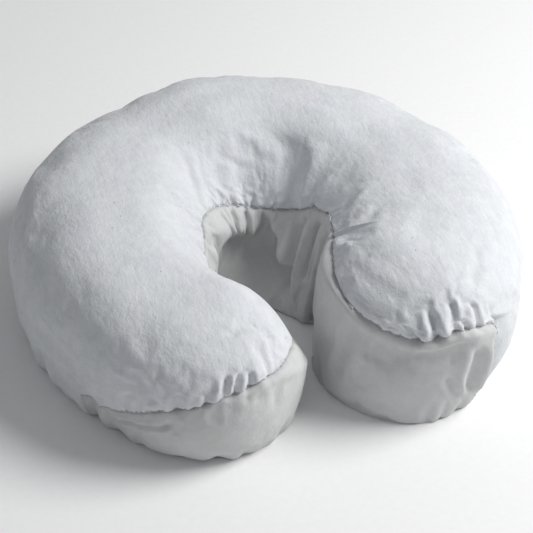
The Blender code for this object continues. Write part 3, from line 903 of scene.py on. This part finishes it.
def vinyl_material(name, light, dark):
    """Upholstery vinyl: a pebbled leather grain with satin highlights, and painted shade in the grain's
    grooves.
    """
    material, tree, shader, coordinates = new_material(name, 0.45)
    shader.inputs["Coat Weight"].default_value = 0.1
    cells = add_node(tree, "ShaderNodeTexVoronoi", {"Vector": coordinates, "Scale": 700.0},
                     feature="DISTANCE_TO_EDGE")
    pebbles = remap(tree, cells.outputs["Distance"], 0.0, 0.25)
    cloudy = noise(tree, coordinates, 0.02, 3.0)
    colour = mix_colour(tree, remap(tree, cloudy, 0.35, 0.65), light, dark)
    # Painted shade: the grooves between the pebbles are painted darker.
    colour = mix_colour(tree, remap(tree, pebbles, 0.4, 0.0, 0.0, 0.4), colour, dark)
    feed(tree, shader.inputs["Roughness"], remap(tree, cloudy, 0.3, 0.7, 0.38, 0.52))
    dress_shader(tree, shader, colour, add_bump(tree, pebbles, 0.00015, 0.7))
    return material


def foam_material(name, light, dark):
    """Open-cell foam: fine pores of mixed size, painted dark as shade."""
    material, tree, shader, coordinates = new_material(name, 0.95)
    small = add_node(tree, "ShaderNodeTexVoronoi", {"Vector": coordinates, "Scale": 900.0})
    large = add_node(tree, "ShaderNodeTexVoronoi", {"Vector": coordinates, "Scale": 380.0})
    pores = math_node(tree, "MULTIPLY", small.outputs["Distance"], large.outputs["Distance"])
    # Painted shade: the pores are painted dark.
    colour = mix_colour(tree, remap(tree, pores, 0.02, 0.30), dark, light)
    dress_shader(tree, shader, colour, add_bump(tree, pores, 0.0006, 0.8))
    return material


def loop_pile_material():
    """Loop tape: a dense felt of tiny loops on a ribbed ground."""
    material, tree, shader, coordinates = new_material("loop_pile", 0.9, 0.3)
    loops = add_node(tree, "ShaderNodeTexVoronoi", {"Vector": coordinates, "Scale": 1100.0})
    felt = noise(tree, coordinates, 0.0015, 3.0, 0.7)
    colour = mix_colour(tree, loops.outputs["Distance"], (0.82, 0.82, 0.80), (0.55, 0.55, 0.54))
    colour = mix_colour(tree, remap(tree, felt, 0.4, 0.7, 0.0, 0.4), colour, (0.66, 0.66, 0.65))
    normal = add_bump(tree, felt, 0.0006, 0.8)
    dress_shader(tree, shader, colour, add_bump(tree, loops.outputs["Distance"], 0.0004, 0.8, normal))
    return material


def floor_material():
    """A matt paper floor with hardly any tooth."""
    material, tree, shader, coordinates = new_material("paper", 0.9)
    tooth = noise(tree, coordinates, 0.004, 2.0)
    colour = mix_colour(tree, remap(tree, tooth, 0.3, 0.7), (0.90, 0.90, 0.90), (0.92, 0.92, 0.92))
    tree.links.new(colour, shader.inputs["Base Color"])
    return material


# ------------------------------ the pieces

def declare(obj, material):
    """The piece gets its material, rides on the root body and stands for its CAD node."""
    obj.data.materials.append(material)
    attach(obj, "root")
    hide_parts(obj.name.removesuffix("_soft"))


def add_cover(chart, grid, materials):
    """The top panel, with the outer side, and the gusset round the tips and the opening."""
    column = np.arange(COLUMNS)[:, None]
    row = np.arange(HEM_ROW)[None, :]
    gusset_cells = (column >= chart.first) & (column < chart.last) & (row >= SEAM_ROW)
    top = grid_mesh("cover_top_panel_soft", grid, ~gusset_cells)
    gusset = grid_mesh("cover_gusset_soft", grid, gusset_cells)
    # The gusset gets the flannel that is painted darker as shade.
    for obj, slot in ((top, "flannel_top"), (gusset, "flannel_gusset")):
        thicken(obj, FLANNEL)
        declare(obj, materials[slot])
    return top, gusset


def stitched_path(grid, distance_row):
    """The cover's points and normals along a fractional row, all round the loop."""
    low = int(distance_row)
    share = distance_row - low
    points = grid[:, low] * (1.0 - share) + grid[:, low + 1] * share
    return points, grid_normals(grid)[:, low]


def add_stitches(name, points, normals, closed, pitch, length, radius, lift):
    """A row of separate stitches along a path, each one dipping into the cloth at its two ends."""
    if closed:
        points = np.concatenate([points, points[:1]])
        normals = np.concatenate([normals, normals[:1]])
    along = travelled(points)
    rings, sides = 5, 6
    profile = np.sin(pi * (np.arange(rings) + 0.5) / rings)
    vertices, faces = [], []
    for start in np.arange(0.5 * pitch, along[-1] - length, pitch):
        at = start + length * np.arange(rings) / (rings - 1)
        centre = resample(at, along, points)
        up = resample(at, along, normals)
        up /= np.linalg.norm(up, axis=1)[:, None]
        centre += up * (lift * (profile[:, None] - 0.5))
        forward = np.gradient(centre, axis=0)
        across = np.cross(forward, up)
        across /= np.linalg.norm(across, axis=1)[:, None]
        size = radius * (0.55 + 0.45 * profile)
        faces += ring_faces(rings, sides, len(vertices), closed=False)
        vertices += tube_rings(centre, across, up, size, size, sides).reshape(-1, 3).tolist()
    return mesh_object(name, vertices, faces)


def add_seam_thread(chart, grid, materials):
    """Topstitching along the seam, just above it, and down the gusset's right end."""
    points, normals = stitched_path(grid, SEAM_ROW - 0.6)
    span = slice(chart.first, chart.last + 1)
    down = grid[chart.last, SEAM_ROW:FOOT_ROW - 3]
    down_normals = grid_normals(grid)[chart.last, SEAM_ROW:FOOT_ROW - 3]
    path = np.concatenate([points[span], down])
    path_normals = np.concatenate([normals[span], down_normals])
    thread = add_stitches(
        "cover_seam_thread_soft", path, path_normals, False, 0.0034, 0.0024, 0.00036, 0.0005)
    declare(thread, materials["sewing_thread"])
    return thread


def hem_path(loop, grid, inset):
    """Points this far in from the hem's edge, at no height, wherever the curtain draws the hem."""
    flat = grid[:, FOOT_ROW, :2] - loop.direction * (HEM_TUCK + inset)
    flat += curtain(loop, grid)[:, FOOT_ROW]
    return on_floor(flat)


def add_hem(loop, grid, materials):
    """The gathered casing of the elastic, the stitches along it and the elastic itself."""
    middle = hem_path(loop, grid, 0.0016 + CASING_WIDTH / 2)
    middle[:, 2] = CASING_HEIGHT / 2 + 0.00005
    along = travelled(middle)
    ripple = 0.5 + 0.5 * np.sin(along / 0.00075 + 2.0 * np.sin(along / 0.011))
    across = on_floor(loop.direction)
    up = np.tile([0.0, 0.0, 1.0], (COLUMNS, 1))
    half_width = CASING_WIDTH / 2 * (0.95 + 0.05 * ripple)
    half_height = CASING_HEIGHT / 2 * (0.72 + 0.26 * ripple)
    rings = tube_rings(middle, across, up, half_width, half_height, 12)
    casing = mesh_object("cover_hem_casing_soft", rings, ring_faces(COLUMNS, 12, 0, closed=True))
    declare(casing, materials["flannel_top"])

    rings = tube_rings(middle, across, up, np.full(COLUMNS, ELASTIC_WIDTH / 2), 0.0003 + 0.0001 * ripple, 8)
    elastic = mesh_object("cover_elastic_soft", rings, ring_faces(COLUMNS, 8, 0, closed=True))
    declare(elastic, materials["woven_elastic"])

    edge = hem_path(loop, grid, 0.0008)
    edge[:, 2] = 0.0008
    down = np.tile([0.0, 0.0, -1.0], (COLUMNS, 1))
    thread = add_stitches("cover_hem_thread_soft", edge, down, True, 0.0036, 0.0026, 0.00032, 0.0004)
    declare(thread, materials["sewing_thread"])
    return casing, elastic, thread


def add_pad_skins(loop, chart, grid, dressed, materials):
    """The vinyl round the foam: the top with the outer side, the band inside and the base."""
    layer = under_layer(grid, dressed, PAD_DEPTH)
    column = np.arange(COLUMNS)[:, None]
    row = np.arange(FOOT_ROW)[None, :]
    band_cells = (column >= chart.first) & (column < chart.last) & (row >= SEAM_ROW)
    top = grid_mesh("pad_top_skin_soft", layer, ~band_cells)
    band = grid_mesh("pad_inner_band_soft", layer, band_cells)
    foot = layer[:, FOOT_ROW] - on_floor(loop.direction) * VINYL
    centre = on_floor(loop.centre)
    share = np.linspace(0.0, 1.0, 7)[None, :, None]
    plate = centre[:, None, :] * (1.0 - share) + foot[:, None, :] * share
    plate[:, :, 2] = BASE_HEIGHT
    base = grid_mesh("pad_base_panel_soft", plate, np.ones((COLUMNS, 6), bool))
    base.data.flip_normals()
    for obj, finish in ((top, "cream_vinyl"), (band, "cream_vinyl"), (base, "base_vinyl")):
        thicken(obj, VINYL * 0.9)
        declare(obj, materials[finish])
    return top, band, base


def section_part(column, from_height, to_height, count):
    """Points down one section between two heights, from higher to lower."""
    fall = np.minimum.accumulate(column[:, 2])
    rows = np.arange(len(column))
    start = np.interp(-from_height, -fall, rows)
    end = np.interp(-to_height, -fall, rows)
    at = np.linspace(start, end, count)
    return resample(at, rows, column)


def add_foam(loop, grid, dressed, materials):
    """The soft layer under the face and the firmer core that it is glued to."""
    layer = under_layer(grid, dressed, FOAM_DEPTH)[::4]
    centre = loop.centre[::4]
    foot = BASE_HEIGHT + 2.2 * VINYL
    layers = (
        ("foam_comfort_layer", "soft_foam", 1.0, FOAM_SPLIT_HEIGHT, 0.75),
        ("foam_support_core", "firm_foam", FOAM_SPLIT_HEIGHT - FOAM_GAP, foot, 0.95))
    for name, finish, roof, floor, fill in layers:
        sections = []
        for column, middle in zip(layer, centre):
            side = section_part(column, min(roof, column[0, 2]), floor, 24)
            side[-1, 2] = floor
            below = np.array([[*middle, floor]])
            above = [] if roof == 1.0 else [np.array([[*middle, roof]])]
            sections.append(np.concatenate([*above, side, below]))
        block = np.array(sections)
        faces = []
        columns, rows = block.shape[:2]
        for one in range(columns):
            after = (one + 1) % columns
            for row in range(rows - 1):
                here, there = one * rows + row, after * rows + row
                faces.append((here, here + 1, there + 1, there))
        foam = mesh_object(name + "_soft", block, faces)
        weld(foam)
        declare(foam, materials[finish])


def finish_tapes(materials):
    """The loop tapes keep their CAD shape and get their pile."""
    for name in ("loop_tape_crown", "loop_tape_left_arm", "loop_tape_right_arm"):
        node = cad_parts[name]
        for slot in node.material_slots:
            slot.material = materials["loop_pile"]


# ------------------------------ stage

def add_camera():
    """The camera at the photograph's angle: aimed at the cushion's heart, and rolled a little."""
    azimuth, elevation = CAMERA_AZIMUTH, CAMERA_ELEVATION
    back = Vector((sin(azimuth) * cos(elevation), -cos(azimuth) * cos(elevation), sin(elevation)))
    level = Vector((cos(azimuth), sin(azimuth), 0.0))
    above = back.cross(level)
    right = level * cos(CAMERA_ROLL) + above * sin(CAMERA_ROLL)
    up = above * cos(CAMERA_ROLL) - level * sin(CAMERA_ROLL)
    camera = bpy.data.objects.new("camera", bpy.data.cameras.new("camera"))
    bpy.context.scene.collection.objects.link(camera)
    place = Vector((0.0, -MIDDLE_Y, AIM_HEIGHT)) + back * CAMERA_DISTANCE
    camera.matrix_world = Matrix((right, up, back)).transposed().to_4x4()
    camera.matrix_world.translation = place
    camera.data.lens = CAMERA_LENS
    camera.data.shift_x, camera.data.shift_y = CAMERA_SHIFT
    camera.data.clip_start = 0.01
    bpy.context.scene.camera = camera


def add_softbox(name, place, size, power, colour=(1.0, 1.0, 1.0)):
    """A round area light aimed at the cushion."""
    light = bpy.data.lights.new(name, "AREA")
    light.shape = "DISK"
    light.size = size
    light.energy = power
    light.color = colour
    lamp = bpy.data.objects.new(name, light)
    bpy.context.scene.collection.objects.link(lamp)
    lamp.location = place
    lamp.rotation_euler = (Vector((0.0, 0.0, 0.04)) - Vector(place)).to_track_quat("-Z", "Y").to_euler()


def add_stage():
    """A pale floor, a dim even sky and one large soft light from above on the right."""
    side = 3.0
    floor = mesh_object(
        "floor", [(-side, -side, 0), (side, -side, 0), (side, side, 0), (-side, side, 0)], [(0, 1, 2, 3)])
    floor.data.materials.append(floor_material())
    world = bpy.data.worlds.new("studio")
    bpy.context.scene.world = world
    world.use_nodes = True
    background = world.node_tree.nodes["Background"]
    background.inputs["Color"].default_value = (0.95, 0.97, 1.0, 1.0)
    background.inputs["Strength"].default_value = 0.29
    add_softbox("key", (1.00, -0.28, 1.10), 0.80, 21.5, (1.0, 0.995, 0.985))
    bpy.context.scene.view_settings.view_transform = "Standard"


def build():
    """Everything in the scene."""
    loop = loop_columns()
    grid = move_seam(loop, surface_grid(loop))
    chart = measure(loop, grid)
    dressed = dress(loop, chart, grid)
    dressed = settle(loop, dressed)
    materials = {
        "flannel_top": flannel_material(
            "flannel_top", (0.72, 0.735, 0.755), (0.60, 0.62, 0.65),
            ((0.63, 0.63, 0.70), (0.62, 0.655, 0.66)), 0.0012, 0.00020, 0.45),
        # The gusset is the same white flannel as the top panel, painted darker as shade for its walls,
        # which face away from the light.
        "flannel_gusset": flannel_material(
            "flannel_gusset", (0.61, 0.615, 0.615), (0.54, 0.55, 0.55),
            ((0.57, 0.57, 0.59), (0.57, 0.585, 0.565)), 0.0008, 0.00010, 0.15),
        "sewing_thread": thread_material(),
        "woven_elastic": elastic_material(),
        "cream_vinyl": vinyl_material("cream_vinyl", (0.72, 0.69, 0.62), (0.62, 0.59, 0.53)),
        "base_vinyl": vinyl_material("base_vinyl", (0.66, 0.63, 0.57), (0.57, 0.54, 0.49)),
        "soft_foam": foam_material("soft_foam", (0.86, 0.82, 0.70), (0.62, 0.57, 0.45)),
        "firm_foam": foam_material("firm_foam", (0.62, 0.68, 0.74), (0.40, 0.46, 0.53)),
        "loop_pile": loop_pile_material(),
    }
    top, gusset = add_cover(chart, dressed, materials)
    seam_thread = add_seam_thread(chart, dressed, materials)
    casing, elastic, hem_thread = add_hem(loop, grid, materials)
    skin, band, base = add_pad_skins(loop, chart, grid, dressed, materials)
    add_foam(loop, grid, dressed, materials)
    finish_tapes(materials)


build()
add_camera()
add_stage()
